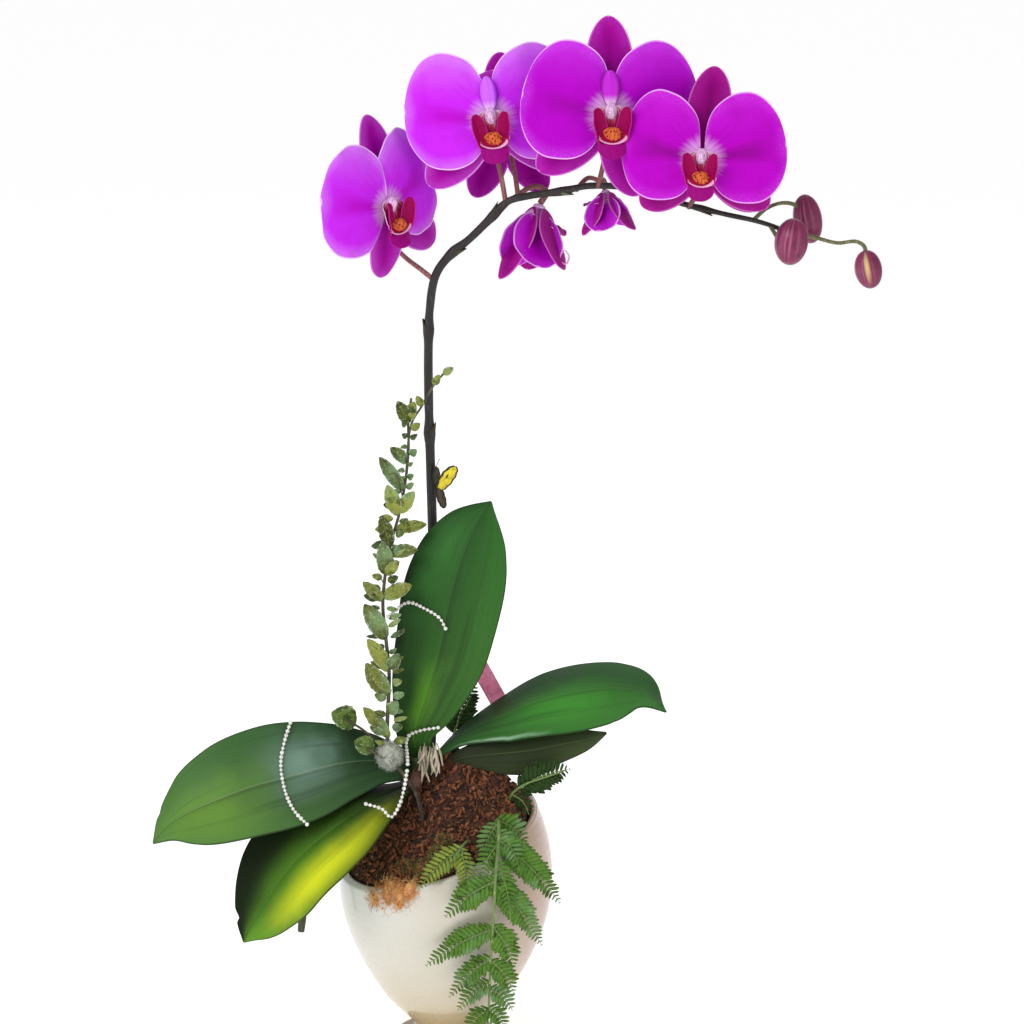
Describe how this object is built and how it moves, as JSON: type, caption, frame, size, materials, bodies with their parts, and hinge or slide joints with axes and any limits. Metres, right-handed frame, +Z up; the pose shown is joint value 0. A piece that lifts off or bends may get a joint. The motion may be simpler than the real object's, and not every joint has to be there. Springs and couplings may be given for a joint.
{
  "type": "potted moth orchid",
  "caption": "Moth orchid with an arching spike of magenta blooms above broad leaves, in an egg-shaped cream pot dressed with coir, fern and a frosted foliage pick.",
  "frame": {"origin": "middle of the pot's flat base, on the surface it stands on", "axes": "+Z up along the pot's axis, -Y towards the front that the picture shows, +X to the viewer's right"},
  "size_m": [0.4757, 0.1608, 0.6929],
  "materials": {
    "pot": "glossy cream glaze",
    "potting_mix": "loose dark bark",
    "coir_mound": "matted brown fibre",
    "coir_tuft": "loose orange fibre",
    "leaves": "waxy deep green",
    "variegated_leaf": "waxy green and yellow",
    "spike": "satin near-black brown",
    "petals": "velvety magenta purple",
    "lips": "waxy crimson",
    "buds": "waxy plum",
    "fern": "thin matt green",
    "frosted": "frosted grey green",
    "beads": "glossy white",
    "butterfly": "yellow with black edges",
    "label": "mottled pink"
  },
  "bodies": {
    "root": {"pot": "pot", "potting_mix": "potting_mix", "coir_mound": "coir_mound", "coir_tuft": "coir_tuft", "crown": "leaves", "leaf_left_upper": "leaves", "leaf_left_lower": "variegated_leaf", "leaf_centre": "leaves", "leaf_right_upper": "leaves", "leaf_right_lower": "leaves", "flower_spike": "spike", "bloom_a": "petals", "lip_a": "lips", "bloom_b": "petals", "lip_b": "lips", "bloom_c": "petals", "lip_c": "lips", "bloom_d": "petals", "lip_d": "lips", "bloom_e": "petals", "lip_e": "lips", "bloom_f": "petals", "bloom_g": "petals", "bloom_h": "petals", "lip_h": "lips", "bud_1": "buds", "bud_2": "buds", "bud_3": "buds", "fern_front": "fern", "fern_right": "fern", "fern_back": "fern", "fern_rim": "fern", "frosted_pick": "frosted", "beads_centre_leaf": "beads", "beads_left_leaf": "beads", "beads_mound": "beads", "beads_leaf_foot": "beads", "butterfly": "butterfly", "plant_label": "label"}
  },
  "joints": []
}
